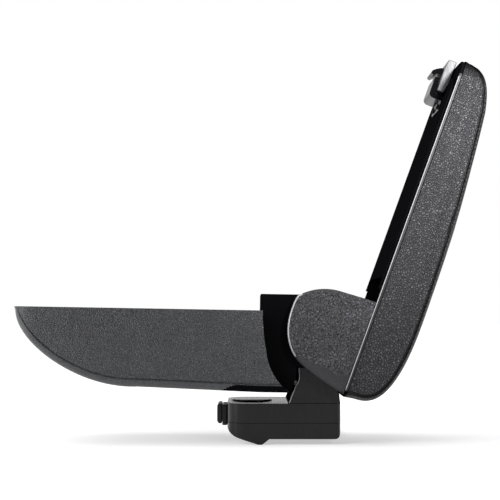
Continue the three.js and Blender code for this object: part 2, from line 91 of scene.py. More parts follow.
# ---- outlines ----
class Outline:
    """A path of 2-D points, built from lines, curves and arcs."""

    def __init__(self, x, y):
        self.points = [(x, y)]

    def line(self, x, y):
        self.points.append((x, y))
        return self

    def quad(self, cx, cy, x, y, steps=12):
        ax, ay = self.points[-1]
        for t in np.linspace(0, 1, steps + 1)[1:]:
            u = 1 - t
            self.points.append((u * u * ax + 2 * u * t * cx + t * t * x,
                                u * u * ay + 2 * u * t * cy + t * t * y))
        return self

    def cubic(self, bx, by, cx, cy, x, y, steps=28):
        a = Vector(self.points[-1])
        b, c, d = Vector((bx, by)), Vector((cx, cy)), Vector((x, y))
        for t in np.linspace(0, 1, steps + 1)[1:]:
            u = 1 - t
            self.points.append(tuple(a * u**3 + b * (3 * u * u * t) + c * (3 * u * t * t) + d * t**3))
        return self

    def arc(self, cx, cy, radius, start, end, steps=24):
        for angle in np.radians(np.linspace(start, end, steps + 1)):
            self.points.append((cx + radius * math.cos(angle), cy + radius * math.sin(angle)))
        return self


def plan_outline(tip, rear, half, corner=26.0, rear_corner=10.0):
    """Straight sides, a bowed tip and rounded corners, seen from above."""
    front = tip + TIP_BOW
    path = Outline(rear, half - rear_corner).quad(rear, half, rear - rear_corner, half)
    path.line(front + corner, half).cubic(front + 8, half, front + 2, half - 10, front, half - corner, 16)
    path.quad(tip, 0, front, corner - half, 16)
    path.cubic(front + 2, 10 - half, front + 8, -half, front + corner, -half, 16)
    path.line(rear - rear_corner, -half).quad(rear, -half, rear, rear_corner - half)
    return path.points


def resampled(points, spacing):
    """The same path with points an even distance apart."""
    line = np.array(points, float)
    run = np.concatenate([[0], np.cumsum(np.linalg.norm(np.diff(line, axis=0), axis=1))])
    at = np.linspace(0, run[-1], int(run[-1] / spacing) + 1)
    return np.stack([np.interp(at, run, line[:, 0]), np.interp(at, run, line[:, 1])], 1)


# ---- mesh helpers ----
def make(name, verts, faces):
    mesh = bpy.data.meshes.new(name)
    mesh.from_pydata([tuple(v) for v in verts], [], faces)
    mesh.validate()
    obj = bpy.data.objects.new(name, mesh)
    bpy.context.scene.collection.objects.link(obj)
    return obj


def face_outward(obj):
    work = bmesh.new()
    work.from_mesh(obj.data)
    bmesh.ops.recalc_face_normals(work, faces=work.faces)
    work.to_mesh(obj.data)
    work.free()
    return obj


def apply_modifiers(obj):
    bpy.context.view_layer.update()
    graph = bpy.context.evaluated_depsgraph_get()
    mesh = bpy.data.meshes.new_from_object(obj.evaluated_get(graph))
    old = obj.data
    obj.modifiers.clear()
    obj.data = mesh
    bpy.data.meshes.remove(old)
    return obj


def boolean(obj, tool, operation="DIFFERENCE", solver="EXACT"):
    step = obj.modifiers.new("shape", "BOOLEAN")
    step.operation = operation
    step.object = tool
    step.solver = solver
    apply_modifiers(obj)
    bpy.data.objects.remove(tool, do_unlink=True)
    return obj


def cut(obj, *tools, solver="EXACT"):
    for tool in tools:
        boolean(obj, tool, solver=solver)
    return obj


def join(obj, *others):
    for other in others:
        boolean(obj, other, "UNION")
    return obj


def bevel(obj, width, segments=3, angle=32):
    step = obj.modifiers.new("edges", "BEVEL")
    step.width = width
    step.segments = segments
    step.limit_method = "ANGLE"
    step.angle_limit = math.radians(angle)
    step.use_clamp_overlap = True
    step.miter_outer = "MITER_ARC"
    return apply_modifiers(obj)


def prism(name, points, low, high, axis="Y"):
    """A closed slab: (x, z) points drawn across Y, or (x, y) points drawn up Z."""
    count = len(points)
    if axis == "Y":
        verts = [(x, y, z) for y in (low, high) for x, z in points]
    else:
        verts = [(x, y, z) for z in (low, high) for x, y in points]
    faces = [tuple(range(count)), tuple(range(2 * count - 1, count - 1, -1))]
    faces += [(i, (i + 1) % count, count + (i + 1) % count, count + i) for i in range(count)]
    return face_outward(make(name, verts, faces))


def block(x0, x1, y0, y1, z0, z1):
    return prism("block", [(x0, z0), (x1, z0), (x1, z1), (x0, z1)], y0, y1)


def turn_angles(steps):
    """Evenly spaced angles round a full turn."""
    return np.linspace(0, math.tau, steps + 1)[:-1]


def disc_points(radius, x, z, steps=64):
    return [(x + radius * math.cos(a), z + radius * math.sin(a)) for a in turn_angles(steps)]


def rod_y(radius, x, z, low, high, steps=64):
    return prism("rod", disc_points(radius, x, z, steps), low, high)


def rod_z(radius, x, y, low, high, steps=64):
    return prism("rod", disc_points(radius, x, y, steps), low, high, "Z")


def lathe(name, profile, steps=64):
    """A closed (radius, height) profile that starts and ends on the axis, turned about Z."""
    rings = profile[1:-1]
    verts = [(0, 0, profile[0][1]), (0, 0, profile[-1][1])]
    for radius, height in rings:
        verts += [(radius * math.cos(a), radius * math.sin(a), height) for a in turn_angles(steps)]
    faces = []
    for i in range(steps):
        j = (i + 1) % steps
        faces.append((0, 2 + i, 2 + j))
        last = 2 + (len(rings) - 1) * steps
        faces.append((1, last + j, last + i))
        for k in range(len(rings) - 1):
            a, b = 2 + k * steps, 2 + (k + 1) * steps
            faces.append((a + i, b + i, b + j, a + j))
    return face_outward(make(name, verts, faces))


def sheet_of(name, rows):
    """An open sheet through rows of points."""
    count = len(rows[0])
    faces = [(i * count + j, i * count + j + 1, (i + 1) * count + j + 1, (i + 1) * count + j)
             for i in range(len(rows) - 1) for j in range(count - 1)]
    return make(name, [p for row in rows for p in row], faces)


def trim(obj, point, normal):
    """Cuts away what lies on the side that normal points to."""
    work = bmesh.new()
    work.from_mesh(obj.data)
    parts = [*work.verts, *work.edges, *work.faces]
    bmesh.ops.bisect_plane(work, geom=parts, plane_co=point, plane_no=normal, clear_outer=True, dist=1e-4)
    work.to_mesh(obj.data)
    work.free()
    return obj


def thicken(obj, thickness):
    step = obj.modifiers.new("wall", "SOLIDIFY")
    step.thickness = thickness
    step.offset = -1
    step.use_even_offset = True
    return apply_modifiers(obj)


def settle(obj, place, body, slot, *materials, replaces=(), sharp=38, weighted=True):
    """Turns a finished shape from millimetres into its place, and puts it on its body."""
    obj.data.transform(place @ Matrix.Scale(MM, 4))
    indices = [min(face.material_index, len(materials) - 1) for face in obj.data.polygons]
    obj.data.materials.clear()
    for material in materials:
        obj.data.materials.append(material)
    obj.data.polygons.foreach_set("material_index", indices)
    obj.data.shade_smooth()
    obj.data.set_sharp_from_angle(angle=math.radians(sharp))
    if weighted:
        step = obj.modifiers.new("normals", "WEIGHTED_NORMAL")
        step.keep_sharp = True
        apply_modifiers(obj)
    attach(obj, body)
    if replaces:
        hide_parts(*replaces)
    return obj


# ---- materials ----
class Finish:
    """A material's node tree, with short names for what it is built from."""

    def __init__(self, name, color, roughness, **inputs):
        self.material = bpy.data.materials.new(name)
        self.material.use_nodes = True
        self.tree = self.material.node_tree
        self.shader = self.tree.nodes["Principled BSDF"]
        self.set(self.shader, "Base Color", (*color, 1))
        self.set(self.shader, "Roughness", roughness)
        for key, value in inputs.items():
            self.set(self.shader, key.replace("_", " "), value)
        self.place = self.node("TexCoord").outputs["Object"]
        self.color = color
        self.height = None

    def set(self, node, key, value):
        if isinstance(value, bpy.types.NodeSocket):
            self.tree.links.new(value, node.inputs[key])
        else:
            node.inputs[key].default_value = value

    def node(self, kind, settings=(), **inputs):
        node = self.tree.nodes.new("ShaderNode" + kind)
        for key, value in dict(settings).items():
            setattr(node, key, value)
        for key, value in inputs.items():
            numbered = key[0] == "i" and key[1:].isdigit()
            self.set(node, int(key[1:]) if numbered else key.replace("_", " "), value)
        return node

    def math(self, operation, a, b=0.0):
        return self.node("Math", {"operation": operation}, i0=a, i1=b).outputs[0]

    def noise(self, size, detail=2.0, rough=0.5, where=None):
        """Noise with features of that size in millimetres."""
        made = self.node("TexNoise", Vector=where or self.place, Scale=1 / (size * MM), Detail=detail,
                         Roughness=rough)
        return made.outputs["Fac"]

    def cells(self, size, feature="DISTANCE_TO_EDGE", warp=0.0):
        """Pebbles of that size in millimetres, their walls bent by warp."""
        where = self.node("Mapping", Vector=self.place).outputs[0]
        if warp:
            bend = self.node("TexNoise", Vector=where, Scale=0.7 / (size * MM), Detail=1.0).outputs["Color"]
            bend = self.node("VectorMath", {"operation": "SUBTRACT"}, i0=bend, i1=(0.5, 0.5, 0.5)).outputs[0]
            bend = self.node("VectorMath", {"operation": "SCALE"}, i0=bend, Scale=warp * size * MM).outputs[0]
            where = self.node("VectorMath", {"operation": "ADD"}, i0=where, i1=bend).outputs[0]
        made = self.node("TexVoronoi", {"feature": feature}, Vector=where, Scale=1 / (size * MM))
        return made.outputs["Distance"]

    def ramp(self, value, low, high, out_low=0.0, out_high=1.0):
        made = self.node("MapRange", {"interpolation_type": "SMOOTHSTEP"}, Value=value, From_Min=low,
                         From_Max=high, To_Min=out_low, To_Max=out_high)
        return made.outputs[0]

    def bump(self, height, depth, strength=1.0):
        """Relief of that depth in millimetres, on top of any before it."""
        made = self.node("Bump", Height=height, Distance=depth * MM, Strength=strength)
        if self.height is not None:
            self.set(made, "Normal", self.height)
        self.height = made.outputs[0]
        self.set(self.shader, "Normal", self.height)
        return self

    def tint(self, factor, dark, light):
        """The base colour varies between dark and light times its own value."""
        ends = [tuple(c * k for c in self.color) + (1,) for k in (dark, light)]
        mix = self.node("Mix", {"data_type": "RGBA"}, i0=factor)
        mix.inputs[6].default_value, mix.inputs[7].default_value = ends
        self.set(self.shader, "Base Color", mix.outputs[2])
        return self

    def gloss(self, factor, low, high):
        self.set(self.shader, "Roughness", self.ramp(factor, 0.3, 0.7, low, high))
        return self


def etched_plastic(name, color, cell, depth, roughness, contrast=1.0):
    """Moulded plastic with an etched hide texture, its hollows darker by contrast."""
    made = Finish(name, color, roughness, Specular_IOR_Level=0.42)
    walls = made.cells(cell, warp=0.9)
    hide = made.ramp(walls, 0.02, 0.32)
    fine = made.noise(cell * 0.42, 3, 0.6)
    patches = made.noise(14, 2)
    made.bump(hide, depth).bump(fine, depth * 0.8)
    speckle = made.math("MULTIPLY", made.ramp(fine, 0.42, 0.58), made.ramp(hide, 0, 1, 0.4, 1))
    shade = made.math("MULTIPLY", speckle, made.ramp(patches, 0.3, 0.7, 0.8, 1))
    made.tint(shade, 0.25 / contrast, 2.7 * contrast)
    made.gloss(fine, roughness - 0.08, roughness + 0.1)
    return made.material


def leatherette(name, color, cell, depth, roughness, specular):
    """Pebbled leatherette with soft creases between the grains, and painted shade darkening it round the
    lid's tip.
    """
    made = Finish(name, color, roughness)
    pebbles = made.ramp(made.cells(cell, warp=0.7), 0.0, 0.38)
    pores = made.noise(cell * 0.25, 2)
    folds = made.noise(26, 3, 0.55)
    made.bump(folds, 0.5, 0.5).bump(pebbles, depth).bump(pores, depth * 0.25)
    forward = LID.to_3x3() @ Vector((1, 0, 0))
    dot = made.node("VectorMath", {"operation": "DOT_PRODUCT"}, i0=made.place, i1=tuple(forward))
    along = dot.outputs["Value"]
    tip = forward.dot(LID @ Vector((LID_TIP * MM, 0, 0)))
    # Painted shade: colour and specular level fall over the last 26 mm towards the lid's tip.
    from_tip = made.ramp(along, tip + 0.008, tip + 0.026)
    folds_and_tip_shade = made.math("MULTIPLY", made.ramp(folds, 0.3, 0.7, 0.8, 1), from_tip)
    made.tint(made.math("MULTIPLY", pebbles, folds_and_tip_shade), 0.1, 1.8)
    made.set(made.shader, "Specular IOR Level", made.math("MULTIPLY", from_tip, specular))
    made.gloss(pores, roughness - 0.06, roughness + 0.08)
    return made.material


def moulded(name, color, low, high, specular=0.5):
    """Plain moulded plastic: a faint flow pattern, a fine skin and handling marks in its gloss."""
    made = Finish(name, color, high, Specular_IOR_Level=specular)
    flow = made.noise(34, 2)
    skin = made.noise(0.8, 2)
    drawn = made.node("Mapping", Vector=made.place, Scale=(6, 6, 0.8)).outputs[0]
    marks = made.node("TexNoise", Vector=drawn, Scale=90, Detail=6.0, Roughness=0.7).outputs["Fac"]
    made.bump(flow, 0.25, 0.35).bump(skin, 0.02, 0.5)
    made.tint(flow, 0.85, 1.2)
    made.gloss(marks, low, high)
    return made.material


def felt(name, color):
    made = Finish(name, color, 0.95, Sheen_Weight=0.3, Sheen_Roughness=0.6, Specular_IOR_Level=0.1)
    fibres = made.noise(0.9, 6, 0.75)
    made.bump(fibres, 0.5).tint(fibres, 0.5, 1.6)
    return made.material


def metal(name, color, low, high):
    made = Finish(name, color, high, Metallic=1.0)
    drawn = made.node("Mapping", Vector=made.place, Scale=(1, 1, 14)).outputs[0]
    turned = made.node("TexNoise", Vector=drawn, Scale=260, Detail=4.0).outputs["Fac"]
    made.bump(turned, 0.03, 0.6).tint(made.noise(5, 3), 0.8, 1.1).gloss(turned, low, high)
    return made.material


def foam_finish():
    made = Finish("foam", (0.5, 0.46, 0.36), 0.95)
    bubbles = made.cells(1.6, "F1")
    made.bump(bubbles, 0.5).tint(bubbles, 0.6, 1.1)
    return made.material


def thread_finish():
    made = Finish("thread", (0.022, 0.022, 0.024), 0.6, Sheen_Weight=0.2)
    twist = made.node("TexWave", Vector=made.place, Scale=900, Distortion=1.5).outputs["Fac"]
    made.bump(twist, 0.12).tint(twist, 0.7, 1.4)
    return made.material


# Some finishes carry light and shade fitted to the photograph: a pale grey is a painted highlight along
# edges, the matt black put on sideways faces is painted shade, the darker low cheek and top leatherette
# finishes are painted shade, and both leatherettes darken towards the lid's tip as painted shade.
HIDE = etched_plastic("hide_grey", (0.038, 0.039, 0.044), 1.9, 0.34, 0.46)
HIDE_COARSE = etched_plastic("hide_grey_coarse", (0.018, 0.018, 0.021), 3.2, 0.9, 0.46, 1.7)
HIDE_EDGE = etched_plastic("hide_grey_edge", (0.042, 0.043, 0.046), 1.0, 0.06, 0.42)
# A darker copy for the cheek's curved-under lower edge: painted shade.
HIDE_LOW_SHADED = etched_plastic("hide_grey_low", (0.015, 0.015, 0.017), 1.2, 0.05, 0.5)
LEATHER = leatherette("leatherette_black", (0.034, 0.034, 0.039), 2.3, 0.7, 0.42, 0.3)
# The top leatherette is a darker, smoother copy of the side one: its darkness is painted shade.
LEATHER_TOP_SHADED = leatherette("leatherette_black_top_shaded", (0.008, 0.008, 0.009), 2.0, 0.22, 0.42, 0.12)
GLOSS = moulded("gloss_black", (0.005, 0.005, 0.006), 0.12, 0.22, 0.22)
SATIN = moulded("satin_black", (0.008, 0.008, 0.009), 0.32, 0.46, 0.25)
MATT = moulded("matt_black", (0.003, 0.003, 0.0035), 0.7, 0.85, 0.0)
# Painted highlight: a pale grey laid along edges where light would glint.
PAINTED_HIGHLIGHT = moulded("painted_edge_highlight", (0.3, 0.3, 0.31), 0.2, 0.3, 0.5)
RIM_GREY = moulded("rim_grey", (0.02, 0.02, 0.022), 0.35, 0.5, 0.2)
LATCH_GREY = moulded("latch_grey", (0.08, 0.08, 0.085), 0.35, 0.5, 0.3)
FELT = felt("felt_black", (0.012, 0.012, 0.013))
STEEL = metal("zinc_steel", (0.55, 0.56, 0.58), 0.25, 0.45)
BLACK_STEEL = metal("black_steel", (0.006, 0.006, 0.007), 0.5, 0.7)
FOAM = foam_finish()
THREAD = thread_finish()


# ---- shells drawn as ribs ----
def width_table(tip, rear, half, corner, rear_corner):
    """Half the width at each place along a plan outline, as two lists for interpolation."""
    front = tip + TIP_BOW
    path = Outline(front, half - corner)
    path.cubic(front + 2, half - 10, front + 8, half, front + corner, half, 40)
    path.line(rear - rear_corner, half)
    if rear_corner:
        path.quad(rear, half, rear, half - rear_corner, 20)
    return [p[0] for p in path.points], [p[1] for p in path.points]


def rib_rows(outline, width, across, drop, inward, far_edge, flat_steps, side_steps, crease=None):
    """Ribs from one side of a shell to the other. Each starts on the far edge of the side, runs straight to
    the outline, turns over a rounded edge and crosses to the other side. width gives half the width at x."""
    rows = []
    tangents = np.gradient(outline, axis=0)
    tangents /= np.linalg.norm(tangents, axis=1)[:, None]
    for k, (point, tangent) in enumerate(zip(outline, tangents)):
        normal = np.array([-tangent[1], tangent[0]])
        base = width(point[0])
        half_row = [(point[0], (base - across) * j / flat_steps, point[1]) for j in range(flat_steps)]
        for d in inward:
            q = point + normal * d
            turn = 0.0 if d >= drop else across * (1 - math.sqrt(max(0.0, 1 - (1 - d / drop) ** 2)))
            half_row.append((q[0], width(q[0]) - turn - (crease(d) if crease else 0.0), q[1]))
        start = point + normal * inward[-1]
        end = np.array(far_edge[0]) + (np.array(far_edge[1]) - np.array(far_edge[0])) * k / (len(outline) - 1)
        for t in np.linspace(0, 1, side_steps + 1)[1:]:
            q = start + (end - start) * t
            half_row.append((q[0], width(q[0]), q[1]))
        rows.append([(x, -y, z) for x, y, z in reversed(half_row)] + half_row[1:])
    return rows


def box_outline():
    path = Outline(-307, 52).line(-302, PARTING).cubic(-284, -9, -228, -45, -175, -42, 60)
    return path.line(-60, -45.2).line(0, -45.2).points


BOX_WIDTHS = width_table(BOX_TIP, 40, HALF, 26, 0)
BORDER = 7.0  # width of the box's smooth border, in from its edge


def box_half_width(x):
    return float(np.interp(x, *BOX_WIDTHS))


def box_bow(row):
    """Bows the front in plan, fading out along the box."""
    out = []
    for x, y, z in row:
        fade = max(0.0, min(1.0, 1 - (x - BOX_TIP) / 50))
        out.append((x + 1.5 * fade * fade * (1 + min(1.0, abs(y) / 38) ** 2), y, z))
    return out


def box_rear_cut():
    path = Outline(FAR, -60).line(FAR, 60).line(-58.6, 60).line(-58.6, 24).line(-57, 6)
    path.arc(0, 0, 55.2, 186.5, 233, 48).line(-20, -60)
    return prism("rear_cut", path.points, -FAR, FAR)


HULL_SCREWS = [(-54, -36), (-54, 36), (-43, -22), (-43, 22)]
SOLE_FRONT = -100.0  # the border turns black behind a slanted line from here
SOLE_SLANT = 2.2
SOLE_LOW = -45.2
HULL_FLAT_STEPS = 12
HULL_SIDE_STEPS = 22


def hull():
    def crease(d):
        return 1.1 * math.exp(-(((d - BORDER - 0.8) / 0.65) ** 2))

    inward = [0, 0.4, 0.9, 1.5, 2.2, 3, 3.9, 4.9, 5.9, 6.6, 7.0, 7.25, 7.5, 7.7, 7.9, 8.15, 8.4, 8.8, 9.4]
    outline = resampled(box_outline(), 2.6)
    rows = rib_rows(outline, box_half_width, 9, BORDER, inward, ((-298.4, 56), (0, 56)), HULL_FLAT_STEPS,
                    HULL_SIDE_STEPS, crease)
    shell = sheet_of("hull", [box_bow(row) for row in rows])
    side_columns = HULL_SIDE_STEPS + len(inward) - 1 - inward.index(6.6)
    per_row = len(rows[0]) - 1
    for n, face in enumerate(shell.data.polygons):
        column = n % per_row
        on_panel = column < side_columns or column >= per_row - side_columns
        rear = face.center.x > SOLE_FRONT + SOLE_SLANT * (face.center.z - SOLE_LOW)
        face.material_index = 0 if on_panel else 2 if rear else 1
    for material in (HIDE, HIDE_EDGE, MATT):
        shell.data.materials.append(material)
    lowest = min(shell.data.polygons, key=lambda f: f.center.z)
    if lowest.normal.z > 0:
        shell.data.flip_normals()
    thicken(shell, 3.0)
    holes = [rod_z(radius, x, y, -50, top, 24)
             for x, y in HULL_SCREWS for radius, top in ((3.6, -43.8), (1.9, -30))]
    above = block(-FAR, FAR, -FAR, FAR, PARTING - GAP, FAR)
    latch_notch = block(-FAR, -270, -21, 21, 4, FAR)
    cut(shell, above, box_rear_cut(), latch_notch, *holes, solver="MANIFOLD")
    bevel(shell, 0.4, 2, 50)
    return settle(shell, ARM, "base", "textured_grey", HIDE, HIDE_EDGE, MATT, replaces=["hull_shell"])


def tub_mat():
    outline = resampled([p for p in box_outline() if p[1] < PARTING], 4)
    inset = []
    tangents = np.gradient(outline, axis=0)
    tangents /= np.linalg.norm(tangents, axis=1)[:, None]
    for point, tangent in zip(outline, tangents):
        q = point + np.array([-tangent[1], tangent[0]]) * 3.5
        if q[1] < -14 and q[0] < -68:
            inset.append(q)
    back = [q + np.array([0, 1.8]) for q in reversed(inset)]
    mat = prism("tub_mat_felt", [tuple(q) for q in inset + back], -51.8, 51.8)
    bevel(mat, 0.7, 2, 60)
    return settle(mat, ARM, "base", "mat", FELT, replaces=["tub_mat"])


def strike():
    lip = block(-281, -267.8, -20, 20, 6, 11.5)
    join(lip, block(-270.8, -267.8, -20, 20, -2, 7))
    lip.name = "latch_keeper"
    bevel(lip, 0.6)
    return settle(lip, ARM, "base", "satin_black", SATIN, replaces=["latch_strike"])


# ---- the hinge ----
def hinge_housing():
    outer = Outline(-60.5, -41.2).line(-60.5, 47.5).line(-14, 47.5).cubic(12, 42, 30, 28, 30, 4)
    outer.line(26, -21.2).line(-25.4, -21.2).line(-26, -33).line(-30.6, -43).line(-34, -43).line(-35.8, -41.2)
    inner = [(-56.5, -37.2), (-56.5, 43.5), (-16, 43.5), (8, 36), (21, 22), (25.6, 4), (22, -17.2),
             (-29.4, -17.2), (-30.4, -33), (-38, -37.2)]
    housing = prism("hinge_block", outer.points, -48.5, 48.5)
    join(housing, block(-63.5, -60.2, -60.3, 60.3, -33, PARTING - 1))
    cut(housing, prism("inner", inner, -44.5, 44.5), block(-22, 22, -44.5, 44.5, -30, -10),
        rod_y(5.1, 0, 0, -60, 60))
    bevel(housing, 0.9, 3, 30)
    return settle(housing, ARM, "base", "housing_black", MATT, replaces=["hinge_housing"])


def cheek_outline():
    path = Outline(-54.2, 18).line(-53 + 0.1, -2.8).arc(0, 0, 53, 183.5, 228, 40).quad(-32, -41, -25, -41, 10)
    path.cubic(0, -41.5, 14, -32, 23, -18, 24).quad(30, -2, 37, PARTING - GAP, 16)
    return path.line(-54.6, PARTING - GAP).points


def cheek(name, side):
    """A fan about the axle: a painted highlight on its front edge, painted shade on its lower edge that
    curves in.
    """
    centre = np.array([-8.0, 4.0])
    outline = resampled([*cheek_outline(), cheek_outline()[0]], 1.3)[:-1]
    rings = [0, 0.15, 0.4, 0.8, 1.3, 1.9, 2.6, 3.6, 5, 6.6, 8.4, 10.4, 12.6, 15]
    outer_y, inner_y = 62.5, 50.0
    verts, faces, soft = [], [], []
    for x, z in outline:
        under = min(1.0, max(0.0, (x - 10) / 12))
        top = z > PARTING - 1
        soft.append((0.5, 0.5) if top else (2.2 + 12 * under, 2.0 + 3.6 * under))
    for d in rings:
        for (x, z), (reach, depth) in zip(outline, soft):
            away = centre - np.array([x, z])
            step = away / np.linalg.norm(away) * d
            turn = 0.0 if d >= reach else depth * (1 - math.sqrt(max(0.0, 1 - (1 - d / reach) ** 2)))
            verts.append((x + step[0], side * (outer_y - turn), z + step[1]))
    count = len(outline)
    for k in range(len(rings) - 1):
        near, far = k * count, (k + 1) * count
        faces += [(near + i, near + (i + 1) % count, far + (i + 1) % count, far + i) for i in range(count)]
    faces.append(tuple(range((len(rings) - 1) * count, len(rings) * count)))
    base = len(verts)
    verts += [(x, side * inner_y, z) for x, z in outline]
    faces += [(i, (i + 1) % count, base + (i + 1) % count, base + i) for i in range(count)]
    faces.append(tuple(range(base, base + count)))
    made = make(f"cheek_{name}_cover", verts, faces)
    for finish in (HIDE_COARSE, HIDE_LOW_SHADED, PAINTED_HIGHLIGHT):
        made.data.materials.append(finish)
    rim_rings = 4
    # Rim faces take the painted highlight, the lower edge the painted shade.
    for n, face in enumerate(made.data.polygons):
        x, _, z = face.center
        is_highlit_rim = n < rim_rings * count and z < -18 and x > -38
        is_shaded_low = x > 19 and n < (len(rings) - 1) * count
        face.material_index = 1 if is_shaded_low else 2 if is_highlit_rim else 0
    face_outward(made)
    low, high = sorted((side * 49, side * 58.6))
    cut(made, rod_y(5.12, 0, 0, low, high))
    return settle(made, LID, "lid", "textured_grey", HIDE_COARSE, HIDE_LOW_SHADED, PAINTED_HIGHLIGHT,
                  replaces=[f"cheek_{name}"], sharp=50, weighted=False)


# ---- the lid ----
POCKET = (-80, 33, 50.6, 50.5)
LINER_SCREWS = [(-240, -44), (-240, 44), (-110, -54), (-110, 54)]
LATCH_SCREWS = [(-261.5, -12), (-261.5, 12)]


def pocket(grow, bottom=0.0):
    front, rear, half, top = POCKET
    return block(front - grow, rear + grow, -half - grow, half + grow, bottom, top + grow)


def lid_liner():
    """The lid's underside: a plate with a rounded rim, a raised panel and a dome over the housing."""
    inset = 0.8
    plan = plan_outline(LID_TIP + inset, LID_REAR - inset, HALF - inset, 28, 14)
    liner = prism("liner", plan, PARTING, PARTING + 3, "Z")
    bevel(liner, 0.7, 3, 60)
    panel = prism("panel", plan_outline(-291, 0, 58), PARTING - 2.2, PARTING + 1, "Z")
    cut(panel, block(-68, FAR, -FAR, FAR, -FAR, FAR), block(-FAR, -256, -20.2, 20.2, -FAR, PARTING))
    join(liner, panel, pocket(2, PARTING + 1))
    cut(liner, pocket(0))
    for x, y in LINER_SCREWS:
        cut(liner, rod_z(3.6, x, y, 20, PARTING + 1.6, 24), rod_z(1.9, x, y, 20, 40, 24))
    for x, y in LATCH_SCREWS:
        cut(liner, rod_z(1.8, x, y, 20, 36, 24))
    bevel(liner, 0.5, 2, 40)
    # The rim's downward-facing edge takes a painted highlight.
    for face in liner.data.polygons:
        x, y, z = face.center
        on_rim = PARTING + 0.02 < z < PARTING + 2.9 and abs(y) > 61.9
        edge = face.normal.z < -0.15 and x > LID_TIP + 24
        face.material_index = (1 if edge else 2) if on_rim else 0
    return settle(liner, LID, "lid", "liner_black", MATT, PAINTED_HIGHLIGHT, RIM_GREY, replaces=["lid_liner"])


def pad_outline():
    path = Outline(-308.5, 10).line(-308.5, PARTING).cubic(-312, 50, -298, 64, -262, 71, 40)
    path.cubic(-200, 78, -130, 82.5, -50, 82.5, 60).cubic(10, 82.5, 40, 71, 40, 45, 50)
    return path.line(40, 10).points


PAD_WIDTHS = width_table(LID_TIP, LID_REAR, HALF, 28, 14)
PAD_ACROSS = 18.0
PAD_DROP = 7.0
PAD_FLAT_STEPS = 16
PAD_SIDE_STEPS = 24
SEAM = 6.3  # how far the seam lies in from the pad's outline
STITCH_LINE = 4.5  # how far the stitches lie in
PAST_SEAM = 12.0  # a distance at which the seam no longer shows
CLOTH_FRAMES = 20
THREAD_RADIUS = 0.32


def pad_rows(spacing, inward, flat_steps, side_steps, inset=0.0):
    outline = resampled(pad_outline(), spacing)
    outline = outline[::-1]
    if inset:
        tangents = np.gradient(outline, axis=0)
        tangents /= np.linalg.norm(tangents, axis=1)[:, None]
        outline = outline + np.stack([-tangents[:, 1], tangents[:, 0]], 1) * inset

    def width(x):
        return float(np.interp(x, *PAD_WIDTHS)) - inset

    far_edge = ((31, 2), (-299, 2))
    return rib_rows(outline, width, PAD_ACROSS, PAD_DROP, inward, far_edge, flat_steps, side_steps)


def closed_pad(name, inset):
    """A plain closed body of the pad, for the foam and for the cloth to start from."""
    rows = pad_rows(5, [0, 1, 2.5, 4.5, 7, 9], 8, 8, inset)
    body = trim(sheet_of(name, rows), (0, 0, COVER_BOTTOM - 4), (0, 0, -1))
    work = bmesh.new()
    work.from_mesh(body.data)
    bmesh.ops.remove_doubles(work, verts=work.verts, dist=0.01)
    bmesh.ops.holes_fill(work, edges=[e for e in work.edges if e.is_boundary], sides=0)
    bmesh.ops.recalc_face_normals(work, faces=work.faces)
    work.to_mesh(body.data)
    work.free()
    return body


def swollen_pad():
    """The pad's fabric under pressure from its foam, as a surface to fit the cover to, in metres."""
    body = closed_pad("pad_swell", 1.6)
    body.data.transform(Matrix.Scale(MM, 4))
    step = body.modifiers.new("remesh", "REMESH")
    step.mode = "VOXEL"
    step.voxel_size = 5 * MM
    apply_modifiers(body)
    pinned = body.vertex_groups.new(name="pin")
    pinned.add([v.index for v in body.data.vertices if v.co.z < (COVER_BOTTOM + 3) * MM], 1.0, "REPLACE")
    cloth = body.modifiers.new("cloth", "CLOTH")
    cloth.settings.use_pressure = True
    cloth.settings.uniform_pressure_force = 4.0
    cloth.settings.vertex_group_mass = "pin"
    cloth.settings.effector_weights.gravity = 0
    cloth.settings.quality = 5
    cloth.settings.tension_stiffness = 30
    cloth.settings.compression_stiffness = 30
    cloth.settings.bending_stiffness = 2
    cloth.point_cache.frame_start = 1
    cloth.point_cache.frame_end = CLOTH_FRAMES
    start = [v.co.copy() for v in body.data.vertices]
    scene = bpy.context.scene
    for number in range(1, CLOTH_FRAMES + 1):
        scene.frame_set(number)
    apply_modifiers(body)
    scene.frame_set(1)
    cap = 4.0 * MM
    for vertex, home in zip(body.data.vertices, start):
        move = vertex.co - home
        if move.length > 1e-9:
            vertex.co = home + move * (cap * math.tanh(move.length / cap) / move.length)
    step = body.modifiers.new("fine", "SUBSURF")
    step.levels = 1
    apply_modifiers(body)
    return body


def smoothed(values, shape, rounds):
    """Averages a field over a grid with its neighbours."""
    field = np.array(values, float).reshape(shape)
    for _ in range(rounds):
        padded = np.pad(field, 1, mode="edge")
        field = (padded[:-2, 1:-1] + padded[2:, 1:-1] + padded[1:-1, :-2] + padded[1:-1, 2:] + 4 * field) / 8
    return field.ravel()


def seam_relief(d):
    """How far the cover stands proud at that distance from the outline: a sewn groove between soft lips."""
    groove = -1.0 * math.exp(-(((d - SEAM) / 0.5) ** 2))
    outer_lip = 0.35 * math.exp(-(((d - SEAM + 1.5) / 0.9) ** 2))
    inner_lip = 0.3 * math.exp(-(((d - SEAM - 1.5) / 0.9) ** 2))
    return groove + (outer_lip + inner_lip)


def cover_inset(column, last, inward):
    """How far in from the pad's outline a column of the cover lies."""
    from_end = min(column, last - column) - PAD_SIDE_STEPS
    if from_end < 0:
        return PAST_SEAM
    return inward[-1 - from_end] if from_end < len(inward) else 0.0


